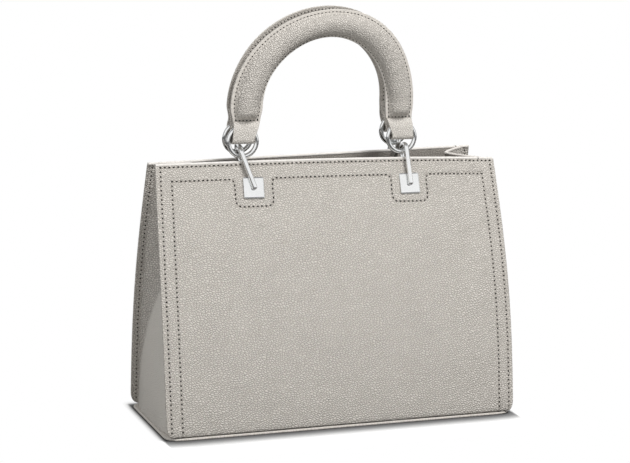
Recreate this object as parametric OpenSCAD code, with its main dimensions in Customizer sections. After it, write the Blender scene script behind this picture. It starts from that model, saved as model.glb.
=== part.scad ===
// Structured leather top handle bag with two padded arch handles.
// Origin at the middle of the base, on the floor. X runs to the right as seen from the front,
// Y runs to the back and Z runs up. All lengths are in millimetres.

/* [Body] */
// Height of the front wall, with its top edge strip
body_h = 210; // [190:1:230]
// Width of the walls at the base
base_w = 295.2; // [270:0.5:320]
// How much narrower the walls are at the mouth than at the base
mouth_taper = 5.3; // [0:0.1:20]
// Depth of the base from front to back
base_d = 117.6; // [100:0.5:135]
// How far the sides of each wall swell outward at mid height
side_swell = 1.6; // [0:0.1:4]
// How far the front and back walls belly out at mid height
belly = 7; // [0:0.5:12]
// Width of the rounded lower corners of the walls
corner_w = 5.5; // [3:0.1:5.8]
// Height of the rounded lower corners of the walls
corner_h = 10; // [5:0.5:16]

/* [Mouth] */
// Distance of the front top edge in front of the middle plane
front_top_y = 12; // [8:0.5:20]
// Distance of the middle of the back top edge behind the middle plane
back_top_y = 17.7; // [12:0.1:30]
// How much further back the right end of the back top edge stands than its middle
mouth_skew = 12.9; // [0:0.1:16]
// How far the back top edge bows in at its middle
mouth_bow = 8.8; // [0:0.1:12]
// How far the front right corner droops
corner_droop = 2.2; // [0:0.1:4]
// How much higher the middle of the back top edge stands than the front one
back_rise = 2; // [0:0.1:4]
// How much the back top edge climbs from its middle to its right end
back_climb = 1.4; // [0:0.1:3]

/* [Sheets] */
// Thickness of the outer leather of the walls
leather_t = 1.4; // [1:0.1:2]
// Thickness of the stiffening boards in the walls
board_t = 1; // [0.6:0.1:1.4]
// Thickness of the woven lining
lining_t = 0.6; // [0.4:0.1:0.9]
// Thickness of the leather facing inside the mouth
facing_t = 1; // [0.7:0.1:1.3]
// Thickness of the gusset leather
gusset_t = 1.2; // [0.8:0.1:1.6]
// Thickness of the strip along the top edges
strip_t = 1.2; // [0.8:0.1:2]
// Width of the seam flange that the gussets turn outward
flange_w = 6; // [5.9:0.1:9]
// Thickness of the base panel
base_t = 2; // [1.5:0.1:3]
// Thickness of the base board
base_board_t = 1.6; // [1:0.1:2.5]
// Radius of the base corners
base_r = 12; // [8:0.5:20]
// Distance of the base board from the edge of the base
base_board_in = 11; // [9:0.5:16]

/* [Gussets] */
// Depth of the inward fold at the mouth
fold_depth = 30; // [20:1:40]

/* [Hardware] */
// Distance of each hook plate from the middle of the wall
plate_x = 66.4; // [55:0.5:75]
// Distance of the middle of each plate below the top edge
plate_drop = 19.8; // [16:0.2:24]
// Side of the square plates
plate_side = 16.8; // [14:0.2:20]
// Thickness of the square plates
plate_t = 0.9; // [0.8:0.1:1.2]
// Radius of the plate corners
plate_r = 1; // [0.5:0.1:2]
// Diameter of the round washers inside the walls
washer_d = 13; // [11:0.5:15]
// Thickness of the washers
washer_t = 1; // [0.8:0.1:1.2]
// Diameter of the hook wire
hook_wire = 4; // [3.6:0.1:4.2]
// Height of the ring's wire in a hook above the top edge
hook_rise = 7.2; // [6.2:0.1:7.8]
// Radius of the bends at the top of a hook
hook_bend_r = 3.3; // [2.6:0.1:4.2]
// Diameter of the hook's pin through the wall
pin_d = 3; // [2.4:0.1:3.4]
// Clearance between the hook's pin and its plates, on the radius
pin_gap = 0.08; // [0.04:0.01:0.1]
// Clearance between the pin and the leather, on the radius
pin_leather_gap = 0.4; // [0.2:0.05:0.8]
// Lean of the front left hook towards the left
front_left_lean = 17.5; // [12:0.1:18.5]
// Lean of the front right hook towards the left
front_right_lean = 1; // [-5:0.1:6]
// Lean of the back left hook towards the left
back_left_lean = 8; // [3:0.1:10]
// Lean of the back right hook towards the left, negative as it leans right
back_right_lean = -7.6; // [-8:0.1:0]
// Radius of the rings at the middle of their wire
ring_r = 11.6; // [11:0.1:13]
// Diameter of the ring wire
ring_wire = 3.8; // [3.2:0.1:4]

/* [Handles] */
// Radius of the front handle's arch at its middle line
front_arch_r = 65; // [60:0.5:68]
// Radius of the back handle's arch at its middle line
back_arch_r = 67.5; // [62:0.5:70]
// Height of the front arch's centre above the hooks
front_arch_z = 39.6; // [34:0.1:50]
// Height of the back arch's centre above the hooks
back_arch_z = 37.6; // [34:0.1:50]
// Width of the handle
handle_w = 24.4; // [21:0.2:25.2]
// Thickness of the handle's inner strap
back_strap_t = 1.5; // [1.2:0.1:2]
// Thickness of the handle's padded cover
cover_t = 1.5; // [1.2:0.1:2]
// Width of the flat border on each side of the padding
border_w = 3.2; // [2.5:0.1:5]
// Height of the padding over the borders
crown_h = 5; // [3:0.1:7]
// Distance from the tab's loop up to the padded end
cover_end_gap = 0.3; // [0.2:0.1:4]
// Half of the distance between the rings of the front handle
front_ring_half_span = 68; // [66.5:0.1:70]
// Half of the distance between the rings of the back handle
back_ring_half_span = 70.2; // [68.5:0.1:71]
// Sideways place of the front handle's middle
front_handle_x = -5; // [-8:0.1:-2]
// Sideways place of the back handle's middle
back_handle_x = -1.6; // [-4:0.1:2]
// Inward lean of the front handle
front_handle_lean = 0; // [0:0.5:3]
// Inward lean of the back handle
back_handle_lean = 7; // [4:0.5:8]
// Width of the tab at its fold
tab_fold_w = 18.4; // [16:0.1:18.6]
// Height of the tab's fold above the hooks
tab_fold_z = 9.8; // [9.4:0.1:12]
// Thickness of one layer of the tab
tab_t = 1.5; // [1:0.1:1.8]
// Clearance of the tab round the ring wire
tab_gap = 0.6; // [0.5:0.05:0.8]

/* [Closure] */
// Diameter of the magnetic snap
snap_d = 14; // [12:0.5:18]
// Thickness of each snap half
snap_t = 2.4; // [1.8:0.1:3]
// Diameter of the snap's stud
snap_stud_d = 5; // [4:0.1:6]
// Length of the snap's stud
snap_stud_h = 1.8; // [1.2:0.1:2.4]
// Clearance round the stud in its socket
snap_gap = 0.2; // [0.1:0.05:0.4]
// Distance of the snap below the top edge
snap_drop = 14; // [11:0.5:20]

/* [Hidden] */
$fn = 48;

leather_colour = "#bdb7ae";
edge_colour = "#c9c4bb";
lining_colour = "#8f8981";
board_colour = "#b9a98c";
metal_colour = "#d9dadc";

FRONT = -1;
BACK = 1;
LEFT = -1;
RIGHT = 1;
mouth_w = base_w - mouth_taper;
wall_t = leather_t + board_t + facing_t;
wall_h = body_h - strip_t - base_t;
// Clearance that lets the flat plates sit on the slightly curved walls
plate_lift = 0.4;
// Clearance between a gusset's flange and the leather it is sewn to
seam_gap = 0.15;
// Clearance between a hook and its plates
foot_gap = 0.3;
// Clearance that lets the edge strips sit on the slightly curved edges
strip_gap = 0.1;
overrun = 1;
tiny = 0.001;
hook_r = hook_wire / 2;
hook_arch_r = wall_t / 2 + plate_lift + plate_t + foot_gap + hook_r;
ring_wire_r = ring_wire / 2;
pin_r = pin_d / 2;
hook_reach = plate_drop + hook_rise;
hook_bar_half = hook_arch_r - hook_bend_r;
loop_r = ring_wire_r + tab_gap;
ring_top_z = 2 * ring_r;
cover_end_z = ring_top_z + loop_r + tab_t + cover_end_gap;

// Shares of the wall's height at which its rows of points stand, above the rounded corner
upper_row_shares = [0.14, 0.27, 0.4, 0.53, 0.66, 0.78, 0.84, 1];
// Shares of the corner's height for the rows round it
corner_row_shares = [0, 0.08, 0.3, 0.62, 1];
row_shares = concat([for (c = corner_row_shares) c * corner_h / wall_h], upper_row_shares);
top_row = len(row_shares) - 1;
facing_row = top_row - 1;
board_row = 1;
lining_row = 3;
gusset_lining_row = 4;
// Shares of the half width at which the columns of points stand, with a flat between two for a plate
column_shares = [-1, -0.9, -0.72, -0.54, -0.38, -0.19, 0, 0.19, 0.38, 0.54, 0.72, 0.9, 1];
last_column = len(column_shares) - 1;

// How far the rounded lower corner draws the side in at a height share
function corner_inset(v) =
    let (h = min(1, v * wall_h / corner_h))
    corner_w * (1 - sqrt(max(0, 1 - (1 - h) * (1 - h))));

function straight_half_w(v) =
    base_w / 2 + (mouth_w - base_w) / 2 * v + side_swell * sin(180 * v);

function half_w(v) = straight_half_w(v) - corner_inset(v);

// Height of the top of a wall at a side share s, left -1 to right 1
function wall_top(side, s) =
    base_t + wall_h + (side == FRONT
        ? -corner_droop * pow((1 + s) / 2, 4)
        : back_rise * (1 - s * s) + back_climb * s * (1 + s) + back_climb * (s - s * s) / 2);

function back_edge_y(s) = back_top_y + mouth_skew * s + mouth_bow * s * s;

// Place of a wall's outer face, moved inward by a depth
function wall_y(side, s, v, depth) =
    side * (base_d / 2 * (1 - v) + (side == FRONT ? front_top_y : back_edge_y(s)) * v
        + belly * sin(180 * v) - depth);

function wall_point(side, s, v, depth) = [
    s * half_w(v),
    wall_y(side, s, v, depth),
    base_t + (wall_top(side, s) - base_t) * v
];

function wall_grid(side, rows, columns, depth) = [
    for (r = rows) [for (c = columns) wall_point(side, column_shares[c], row_shares[r], depth)]
];

function raised(grid, lift) = [for (row = grid) [for (p = row) p + [0, 0, lift]]];

// Faces of one skin of a grid, turned over for the far skin
function skin_faces(rows, columns, first, over) = [
    for (i = [0 : rows - 2], j = [0 : columns - 2], k = [0, 1])
        let (a = first + i * columns + j, b = a + 1, c = a + columns + 1, d = a + columns,
             f = k == 0 ? [a, b, c] : [a, c, d])
        over ? [f[2], f[1], f[0]] : f
];

// Faces that close the gap between two skins along one edge
function rim_faces(near, far) = [
    for (i = [0 : len(near) - 2], k = [0, 1])
        k == 0 ? [near[i], far[i], far[i + 1]] : [near[i], far[i + 1], near[i + 1]]
];

// A closed sheet between two grids of points with the same number of rows and columns
module sheet(near, far, over = false) {
    rows = len(near);
    columns = len(near[0]);
    n = rows * columns;
    bottom = [for (j = [0 : columns - 1]) j];
    right = [for (i = [0 : rows - 1]) i * columns + columns - 1];
    top = [for (j = [columns - 1 : -1 : 0]) (rows - 1) * columns + j];
    left = [for (i = [rows - 1 : -1 : 0]) i * columns];
    rim = concat(
        [for (edge = [bottom, right, top, left])
            each rim_faces(edge, [for (e = edge) e + n])]);
    faces = concat(skin_faces(rows, columns, 0, false), skin_faces(rows, columns, n, true), rim);
    points = concat([for (row = near) each row], [for (row = far) each row]);
    polyhedron(points, over ? [for (f = faces) [f[2], f[1], f[0]]] : faces);
}

// A layer of a wall between two depths
module wall_layer(side, rows, columns, depth_a, depth_b) {
    sheet(wall_grid(side, rows, columns, depth_a), wall_grid(side, rows, columns, depth_b),
        side == FRONT);
}

all_rows = [0 : top_row];
all_columns = [0 : last_column];
inner_columns = [1 : last_column - 1];

function unit(a) = a / norm(a);

// Directions at a hook: along the wall, out of it and up it, then the plate's seat
function hook_frame(side, s) =
    let (low = wall_point(side, s, row_shares[facing_row], 0),
         top = wall_point(side, s, 1, 0),
         reach = plate_side / base_w,
         up = unit(top - low),
         along = unit(side * (wall_point(side, s + reach, 1, 0) - wall_point(side, s - reach, 1, 0))),
         out = unit(cross(up, along)),
         flat = cross(out, up))
    [flat, out, up, top - plate_drop * up];

// Shares of the half width at which the plates stand
function plate_share(end) = end * plate_x / straight_half_w(1);

function arch_r_of(side) = side == FRONT ? front_arch_r : back_arch_r;
function arch_z_of(side) = side == FRONT ? front_arch_z : back_arch_z;
function ring_half_span_of(side) = side == FRONT ? front_ring_half_span : back_ring_half_span;
function lean_of(side, end) =
    side == FRONT ? (end == LEFT ? front_left_lean : front_right_lean)
                  : (end == LEFT ? back_left_lean : back_right_lean);

// Centre of a hook's arch, where the ring and the handle pivot
function arch_centre(side, end) =
    let (f = hook_frame(side, plate_share(end)), a = -side * lean_of(side, end))
    f[3] + f[0] * hook_reach * sin(a) + f[2] * hook_reach * cos(a) - f[1] * wall_t / 2;

module in_frame(f) {
    multmatrix([
        [f[0].x, f[1].x, f[2].x, f[3].x],
        [f[0].y, f[1].y, f[2].y, f[3].y],
        [f[0].z, f[1].z, f[2].z, f[3].z],
        [0, 0, 0, 1]
    ]) children();
}

module at_plate(side, end) {
    in_frame(hook_frame(side, plate_share(end))) children();
}

// Pin holes of both hooks of a wall
module pin_holes(side, radius) {
    for (end = [LEFT, RIGHT])
        at_plate(side, end)
            translate([0, overrun, 0]) rotate([90, 0, 0])
                cylinder(r = radius, h = wall_t + 2 * overrun);
}

module wall_panel(side) {
    color(leather_colour) difference() {
        wall_layer(side, all_rows, all_columns, 0, leather_t);
        pin_holes(side, pin_r + pin_leather_gap);
    }
}

module wall_board(side) {
    color(board_colour) difference() {
        wall_layer(side, [board_row : top_row], inner_columns, leather_t, leather_t + board_t);
        pin_holes(side, pin_r + pin_leather_gap);
    }
}

module wall_lining(side) {
    color(lining_colour)
        wall_layer(side, [lining_row : facing_row], inner_columns, leather_t + board_t,
            leather_t + board_t + lining_t);
}

module wall_facing(side) {
    color(leather_colour) difference() {
        wall_layer(side, [facing_row : top_row], inner_columns, leather_t + board_t, wall_t);
        pin_holes(side, pin_r + pin_leather_gap);
    }
}

// Strip of leather laid over the top edge of a wall
module wall_top_strip(side) {
    outer = wall_grid(side, [top_row, top_row], all_columns, 0);
    inner = wall_grid(side, [top_row, top_row], all_columns, wall_t);
    lift = [strip_gap, strip_t];
    color(edge_colour) sheet(
        [for (i = [0, 1]) raised([outer[i]], lift[i])[0]],
        [for (i = [0, 1]) raised([inner[i]], lift[i])[0]],
        side == FRONT);
}

// Gussets
fold_power = 1.3;
ridge_power = 2.2;
// Share of the height at which the lower fold lines meet
ridge_apex_share = 0.6;
blend_power = 4;
fold_shares = [0, 0.06, 0.16, 0.27, 0.38, 0.46, 0.5, 0.54, 0.62, 0.73, 0.84, 0.94, 1];

// Smaller of two shares with a rounded meeting
function soft_min(a, b) =
    a <= 0 || b <= 0 ? 0 : a * b / pow(pow(a, blend_power) + pow(b, blend_power), 1 / blend_power);

function fold_in(v, q) =
    fold_depth * pow(v, fold_power)
        * soft_min(2 * min(q, 1 - q), min(1, pow(v / ridge_apex_share, ridge_power)));

// Place on the inside of a wall where a gusset's flange turns inward, at a depth into the gusset
function flange_root(end, side, v, depth) =
    wall_point(side, end * (straight_half_w(v) - flange_w - depth) / half_w(v), v,
        leather_t + seam_gap + gusset_t - depth);

function flange_tip(end, side, v, depth) =
    wall_point(side, end, v, leather_t + seam_gap + gusset_t - depth);

// Outer face of a gusset wall at a height share and a share of the way from front to back
function fold_point(end, v, q) =
    let (front = flange_root(end, FRONT, v, 0), back = flange_root(end, BACK, v, 0))
    [end * (straight_half_w(v) - flange_w - fold_in(v, q)),
     front.y + (back.y - front.y) * q,
     front.z + (back.z - front.z) * q];

// Direction square to the gusset wall, pointing into the bag
function fold_inward(end, v, q) =
    let (t = fold_point(end, v, min(1, q + tiny)) - fold_point(end, v, max(0, q - tiny)))
    unit([-end * t.y, end * t.x, 0]);

function fold_row(end, v, shares, depth) =
    [for (q = shares) fold_point(end, v, q) + depth * fold_inward(end, v, q)];

function inner_shares(shares) = [for (i = [1 : len(shares) - 2]) shares[i]];

function gusset_row(end, v, depth) = concat(
    [flange_tip(end, FRONT, v, depth), flange_root(end, FRONT, v, depth)],
    fold_row(end, v, inner_shares(fold_shares), depth),
    [flange_root(end, BACK, v, depth), flange_tip(end, BACK, v, depth)]);

gusset_rows = [for (i = [0 : top_row]) row_shares[i]];

module gusset(end) {
    color(leather_colour) sheet(
        [for (v = gusset_rows) gusset_row(end, v, 0)],
        [for (v = gusset_rows) gusset_row(end, v, gusset_t)],
        end == RIGHT);
}

// Share of the gusset's width that keeps its lining clear of the walls
lining_margin_share = 0.16;
lining_shares = [for (q = fold_shares) if (q >= lining_margin_share && q <= 1 - lining_margin_share) q];
lining_rows = [for (i = [gusset_lining_row : top_row]) row_shares[i]];

module gusset_lining(end) {
    color(lining_colour) sheet(
        [for (v = lining_rows) fold_row(end, v, lining_shares, gusset_t)],
        [for (v = lining_rows) fold_row(end, v, lining_shares, gusset_t + lining_t)],
        end == RIGHT);
}

// Strip over the top edge of a gusset
module gusset_strip(end) {
    near = fold_row(end, 1, lining_shares, 0);
    far = fold_row(end, 1, lining_shares, gusset_t + lining_t);
    color(edge_colour) sheet(
        [raised([near], strip_gap)[0], raised([near], strip_t)[0]],
        [raised([far], strip_gap)[0], raised([far], strip_t)[0]],
        end == RIGHT);
}

module rounded_plate(w, d, r, h) {
    linear_extrude(h) {
        square([w - 2 * r, d], center = true);
        square([w, d - 2 * r], center = true);
        for (x = [-1, 1], y = [-1, 1])
            translate([x * (w / 2 - r), y * (d / 2 - r)]) circle(r);
    }
}

// Base
least_r = 1;
board_in_y = base_board_in / 2;
board_r = max(least_r, base_r - board_in_y);

module base_panel() {
    color(leather_colour) rounded_plate(base_w, base_d, base_r, base_t);
}

module base_board() {
    color(board_colour) translate([0, 0, base_t])
        rounded_plate(base_w - 2 * base_board_in, base_d - 2 * board_in_y, board_r, base_board_t);
}

module base_lining() {
    color(lining_colour) translate([0, 0, base_t + base_board_t])
        rounded_plate(base_w - 2 * base_board_in, base_d - 2 * board_in_y, board_r, lining_t);
}

// Hook hardware, drawn with the wall's outer face at y = 0 and the plate's centre at the origin
module hook_plate(side, end) {
    color(metal_colour) at_plate(side, end) translate([0, plate_lift, 0]) rotate([-90, 0, 0]) difference() {
        rounded_plate(plate_side, plate_side, plate_r, plate_t);
        translate([0, 0, -overrun]) cylinder(r = pin_r + pin_gap, h = plate_t + 2 * overrun);
    }
}

module hook_washer(side, end) {
    color(metal_colour) at_plate(side, end) translate([0, -wall_t, 0]) rotate([90, 0, 0]) difference() {
        cylinder(d = washer_d, h = washer_t);
        translate([0, 0, -overrun]) cylinder(r = pin_r + pin_gap, h = washer_t + 2 * overrun);
    }
}

module hook(side, end) {
    color(metal_colour) at_plate(side, end) rotate([0, -side * lean_of(side, end), 0])
        translate([0, -wall_t / 2, 0]) {
            translate([0, hook_bar_half, hook_reach + hook_arch_r]) rotate([90, 0, 0])
                cylinder(r = hook_r, h = 2 * hook_bar_half);
            for (way = [-1, 1]) {
                translate([0, way * hook_bar_half, hook_reach + hook_bar_half])
                    rotate([90, 0, way * 90]) rotate_extrude(angle = 90)
                        translate([hook_bend_r, 0]) circle(hook_r);
                translate([0, way * hook_arch_r, 0])
                    cylinder(r = hook_r, h = hook_reach + hook_bar_half);
                translate([0, way * hook_arch_r, 0]) sphere(r = hook_r);
            }
            rotate([-90, 0, 0]) translate([0, 0, hook_arch_r - hook_r])
                cylinder(r = hook_r, h = hook_r);
            rotate([90, 0, 0]) translate([0, 0, wall_t / 2 + washer_t + foot_gap])
                cylinder(r = hook_r, h = hook_arch_r - wall_t / 2 - washer_t - foot_gap);
            rotate([90, 0, 0]) translate([0, 0, -hook_arch_r])
                cylinder(r = pin_r, h = 2 * hook_arch_r);
        }
}

// Handles, drawn with the pivot line on X, the arch up Z and the padding towards -Y
function handle_lean(side) = side == FRONT ? front_handle_lean : back_handle_lean;
function handle_x(side) = side == FRONT ? front_handle_x : back_handle_x;

// Directions of a handle, then the middle of its pivot line
function handle_frame(side) =
    let (a = arch_centre(side, LEFT), b = arch_centre(side, RIGHT),
         line = unit(b - a),
         along = -side * line,
         level_in = unit(cross([0, 0, 1], along)),
         up = cross(along, level_in),
         lean = handle_lean(side),
         tilt_up = up * cos(lean) + level_in * sin(lean),
         tilt_in = level_in * cos(lean) - up * sin(lean),
         middle = a + line * (handle_x(side) - a.x) / line.x)
    [along, tilt_in, tilt_up, middle];

module at_handle(side) {
    in_frame(handle_frame(side)) children();
}

pad_half_w = handle_w / 2 - border_w;

// Radius of an arc with a given half width and height
function arc_radius(half, rise) = (half * half + rise * rise) / (2 * rise);

module arc_cap(half, rise) {
    r = arc_radius(half, rise);
    intersection() {
        translate([0, rise - r]) circle(r, $fn = 96);
        translate([-half, 0]) square([2 * half, rise + overrun]);
    }
}

// Sections across the handle: x is across its width and y is its height over the strap
module cover_section() {
    difference() {
        union() {
            translate([-handle_w / 2, 0]) square([handle_w, cover_t]);
            translate([0, cover_t]) arc_cap(pad_half_w, crown_h);
        }
        core_section();
    }
}

module core_section() {
    arc_cap(pad_half_w - cover_t / 2, crown_h);
}

module strap_section() {
    translate([-handle_w / 2, -back_strap_t]) square([handle_w, back_strap_t]);
}

// A section swept up one leg, round the arch and down the other leg
module swept_handle(side, end_z) {
    translate([0, 0, arch_z_of(side)]) rotate([90, 0, 0])
        rotate_extrude(angle = 180, $fn = 96) translate([arch_r_of(side), 0]) children();
    for (x = [-1, 1])
        translate([x * arch_r_of(side), 0, end_z]) mirror([0, 1, 0])
            linear_extrude(arch_z_of(side) - end_z) children();
}

core_end_z = cover_end_z + cover_t;

module handle_cover(side) {
    color(leather_colour) at_handle(side) {
        swept_handle(side, core_end_z) cover_section();
        for (x = [-1, 1])
            translate([x * arch_r_of(side), 0, cover_end_z]) mirror([0, 1, 0])
                linear_extrude(cover_t) {
                    translate([-handle_w / 2, 0]) square([handle_w, cover_t]);
                    translate([0, cover_t]) arc_cap(pad_half_w, crown_h);
                }
    }
}

module handle_core(side) {
    color(board_colour) at_handle(side) swept_handle(side, core_end_z) core_section();
}

module handle_strap(side) {
    color(leather_colour) at_handle(side) swept_handle(side, cover_end_z) strap_section();
}

module slot_outline(r, low, high) {
    translate([0, low]) circle(r);
    translate([0, high]) circle(r);
    translate([-r, low]) square([2 * r, high - low]);
}

// Folded leather tab that holds a ring, on the handle's side end: -1 or 1 along its X
module tab_shape(side, end) {
    arch_x = end * arch_r_of(side);
    ring_x = end * ring_half_span_of(side);
    fold_centre_z = tab_fold_z + loop_r + tab_t;
    tongue_z = ring_top_z + loop_r + tab_t / 2;
    intersection() {
        translate([ring_x - handle_w, 0, 0]) rotate([90, 0, 90])
            linear_extrude(2 * handle_w) {
                difference() {
                    slot_outline(loop_r + tab_t, fold_centre_z, ring_top_z);
                    slot_outline(loop_r, fold_centre_z, ring_top_z);
                }
                translate([-tab_t, tongue_z]) square([2 * tab_t, cover_end_z - tongue_z]);
            }
        rotate([90, 0, 0]) translate([0, 0, -handle_w / 2]) linear_extrude(handle_w)
            polygon([
                [arch_x - handle_w / 2, cover_end_z],
                [arch_x + handle_w / 2, cover_end_z],
                [ring_x + tab_fold_w / 2, fold_centre_z],
                [ring_x + tab_fold_w / 2, tab_fold_z],
                [ring_x - tab_fold_w / 2, tab_fold_z],
                [ring_x - tab_fold_w / 2, fold_centre_z]
            ]);
    }
}

module tab(side, end) {
    color(leather_colour) at_handle(side) tab_shape(side, -side * end);
}

module ring(side, end) {
    color(metal_colour) at_handle(side)
        translate([-side * end * ring_half_span_of(side), 0, ring_r]) rotate([90, 0, 0])
            rotate_extrude($fn = 96) translate([ring_r, 0]) circle(ring_wire_r);
}

// Magnetic snap on the facings, drawn with the wall's outer face at y = 0
function snap_frame(side) =
    let (f = hook_frame(side, 0))
    [f[0], f[1], f[2], f[3] + (plate_drop - snap_drop) * f[2]];

module at_snap(side) {
    in_frame(snap_frame(side)) translate([0, -wall_t, 0]) rotate([90, 0, 0]) children();
}

module snap_stud_half() {
    color(metal_colour) at_snap(FRONT) {
        cylinder(d = snap_d, h = snap_t);
        translate([0, 0, snap_t]) cylinder(d = snap_stud_d, h = snap_stud_h);
    }
}

module snap_socket_half() {
    color(metal_colour) at_snap(BACK) difference() {
        cylinder(d = snap_d, h = snap_t);
        translate([0, 0, snap_t - snap_stud_h])
            cylinder(d = snap_stud_d + 2 * snap_gap, h = snap_t);
    }
}

wall_panel(FRONT);  // front_panel
wall_board(FRONT);  // front_board
wall_lining(FRONT);  // front_lining
wall_facing(FRONT);  // front_facing
wall_top_strip(FRONT);  // front_top_strip
wall_panel(BACK);  // back_panel
wall_board(BACK);  // back_board
wall_lining(BACK);  // back_lining
wall_facing(BACK);  // back_facing
wall_top_strip(BACK);  // back_top_strip
gusset(LEFT);  // left_gusset
gusset_lining(LEFT);  // left_gusset_lining
gusset_strip(LEFT);  // left_gusset_strip
gusset(RIGHT);  // right_gusset
gusset_lining(RIGHT);  // right_gusset_lining
gusset_strip(RIGHT);  // right_gusset_strip
base_panel();
base_board();
base_lining();
hook_plate(FRONT, LEFT);  // front_left_plate
hook_plate(FRONT, RIGHT);  // front_right_plate
hook_plate(BACK, LEFT);  // back_left_plate
hook_plate(BACK, RIGHT);  // back_right_plate
hook_washer(FRONT, LEFT);  // front_left_washer
hook_washer(FRONT, RIGHT);  // front_right_washer
hook_washer(BACK, LEFT);  // back_left_washer
hook_washer(BACK, RIGHT);  // back_right_washer
hook(FRONT, LEFT);  // front_left_hook
hook(FRONT, RIGHT);  // front_right_hook
hook(BACK, LEFT);  // back_left_hook
hook(BACK, RIGHT);  // back_right_hook
ring(FRONT, LEFT);  // front_left_ring
ring(FRONT, RIGHT);  // front_right_ring
ring(BACK, LEFT);  // back_left_ring
ring(BACK, RIGHT);  // back_right_ring
handle_cover(FRONT);  // front_handle_cover
handle_core(FRONT);  // front_handle_core
handle_strap(FRONT);  // front_handle_strap
tab(FRONT, LEFT);  // front_left_tab
tab(FRONT, RIGHT);  // front_right_tab
handle_cover(BACK);  // back_handle_cover
handle_core(BACK);  // back_handle_core
handle_strap(BACK);  // back_handle_strap
tab(BACK, LEFT);  // back_left_tab
tab(BACK, RIGHT);  // back_right_tab
snap_stud_half();
snap_socket_half();
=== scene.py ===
"""Scene for a structured top handle bag of grained leather.

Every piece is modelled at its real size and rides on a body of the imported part. The walls, gussets and
handles follow the same curves as the solids. Lengths are in millimetres until a piece is made.
"""

from math import atan2, copysign, cos, dist, exp, hypot, pi, radians, sin, sqrt

import bpy
from mathutils import Matrix, Vector, noise


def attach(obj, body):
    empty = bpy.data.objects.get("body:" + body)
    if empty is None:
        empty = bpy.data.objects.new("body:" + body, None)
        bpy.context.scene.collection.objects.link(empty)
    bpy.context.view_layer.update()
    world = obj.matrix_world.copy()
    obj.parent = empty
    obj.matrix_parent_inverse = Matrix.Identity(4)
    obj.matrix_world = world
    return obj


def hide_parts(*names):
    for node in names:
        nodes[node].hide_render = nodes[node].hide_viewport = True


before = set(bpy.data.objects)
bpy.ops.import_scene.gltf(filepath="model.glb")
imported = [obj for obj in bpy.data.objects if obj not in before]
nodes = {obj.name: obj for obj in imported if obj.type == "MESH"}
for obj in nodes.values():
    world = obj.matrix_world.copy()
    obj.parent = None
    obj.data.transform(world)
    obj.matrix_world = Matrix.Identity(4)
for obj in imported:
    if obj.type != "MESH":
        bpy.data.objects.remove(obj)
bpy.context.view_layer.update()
scene = bpy.context.scene

MM = 0.001
FRONT, BACK = -1, 1
LEFT, RIGHT = -1, 1
SIDES = {FRONT: "front", BACK: "back"}
ENDS = {LEFT: "left", RIGHT: "right"}
# Edges that turn by more than this are rounded
SHARP_TURN = radians(50)

# Body
BODY_H = 210
BASE_W = 295.2
MOUTH_W = 289.9
BASE_D = 117.6
SIDE_SWELL = 1.6
BELLY = 7
CORNER_W = 5.5
CORNER_H = 10
FRONT_TOP_Y = 12
BACK_TOP_Y = 17.7
MOUTH_SKEW = 12.9
MOUTH_BOW = 8.8
CORNER_DROOP = 2.2
BACK_RISE = 2
BACK_CLIMB = 1.4
FRONT_RISE = 0.9
# How far and how high a panel's foot tucks in, and its gap over the base
FOOT_TUCK, FOOT_TUCK_H, FOOT_GAP = 0.8, 4, 1

# Sheets
LEATHER_T = 1.4
BOARD_T = 1
LINING_T = 0.6
FACING_T = 1
GUSSET_T = 1.2
STRIP_T = 1.2
FLANGE_W = 6
SEAM_GAP = 0.15
FLANGE_DEPTH = LEATHER_T + SEAM_GAP + GUSSET_T
# Share of a gusset's grid that each flange takes
FLANGE_SHARE = 0.1
# How far a gusset's foot swells out, and up to which share of its height
FOOT_SWELL, FOOT_SWELL_TOP = 4.6, 0.3
# How far a strip laps over each side of a wall, its middle's lift over the edge and half its height
STRIP_LAP, STRIP_LIFT, STRIP_HALF_H = 0.35, 0.25, 0.95
# Where the ends of the strip over a top edge meet
JOIN_X = 130.8
BASE_T = 2
BASE_BOARD_T = 1.6
BASE_R, BASE_EDGE_R = 12, 0.9
BASE_BOARD_IN = 11
WALL_T = LEATHER_T + BOARD_T + FACING_T
WALL_H = BODY_H - STRIP_T - BASE_T
LINING_DEPTH = WALL_T - 0.45
FACING_SHARE = 0.84
FOLD_DEPTH = 30
FOLD_POWER = 1.3
RIDGE_POWER = 2.2
RIDGE_APEX_SHARE = 0.6
BLEND_POWER = 4

# Hardware and handles
PLATE_X = 66.4
PLATE_DROP = 19.8
PLATE_SIDE = 16.8
PLATE_T = 0.9
PLATE_LIFT = 0.4
PLATE_EDGE_R, PLATE_CORNER_R = 0.4, 1.0
HOOK_RISE = 7.2
HOOK_REACH = PLATE_DROP + HOOK_RISE
LEANS = {(FRONT, LEFT): 17.5, (FRONT, RIGHT): 1, (BACK, LEFT): 8, (BACK, RIGHT): -7.6}
RING_R = 11.6
RING_WIRE_R = 1.9
RING_HALF_SPAN = {FRONT: 68, BACK: 70.2}
ARCH_R = {FRONT: 65, BACK: 67.5}
ARCH_Z = {FRONT: 39.6, BACK: 37.6}
HANDLE_W = 24.4
STRAP_T = 1.5
COVER_T = 1.5
BORDER_W = 3.2
CROWN_H = 7.5
HANDLE_X = {FRONT: -5, BACK: -1.6}
HANDLE_LEAN = {FRONT: 0, BACK: 7}
TAB_FOLD_W = 18.4
TAB_FOLD_Z = 9.8
TAB_T = 1.5
TAB_GAP = 0.6
LOOP_R = RING_WIRE_R + TAB_GAP
FOLD_R = LOOP_R + TAB_T
FOLD_Z = TAB_FOLD_Z + FOLD_R
COVER_GAP = 0.3
COVER_END_Z = 2 * RING_R + FOLD_R + COVER_GAP
# How far a tab's tail climbs the strap, and the run over which a seam steps up onto it
TAIL, TAIL_STEP = 9, 1.6
# How much narrower a tab is than the handle that it enters
TAB_IN = 0.4
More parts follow.
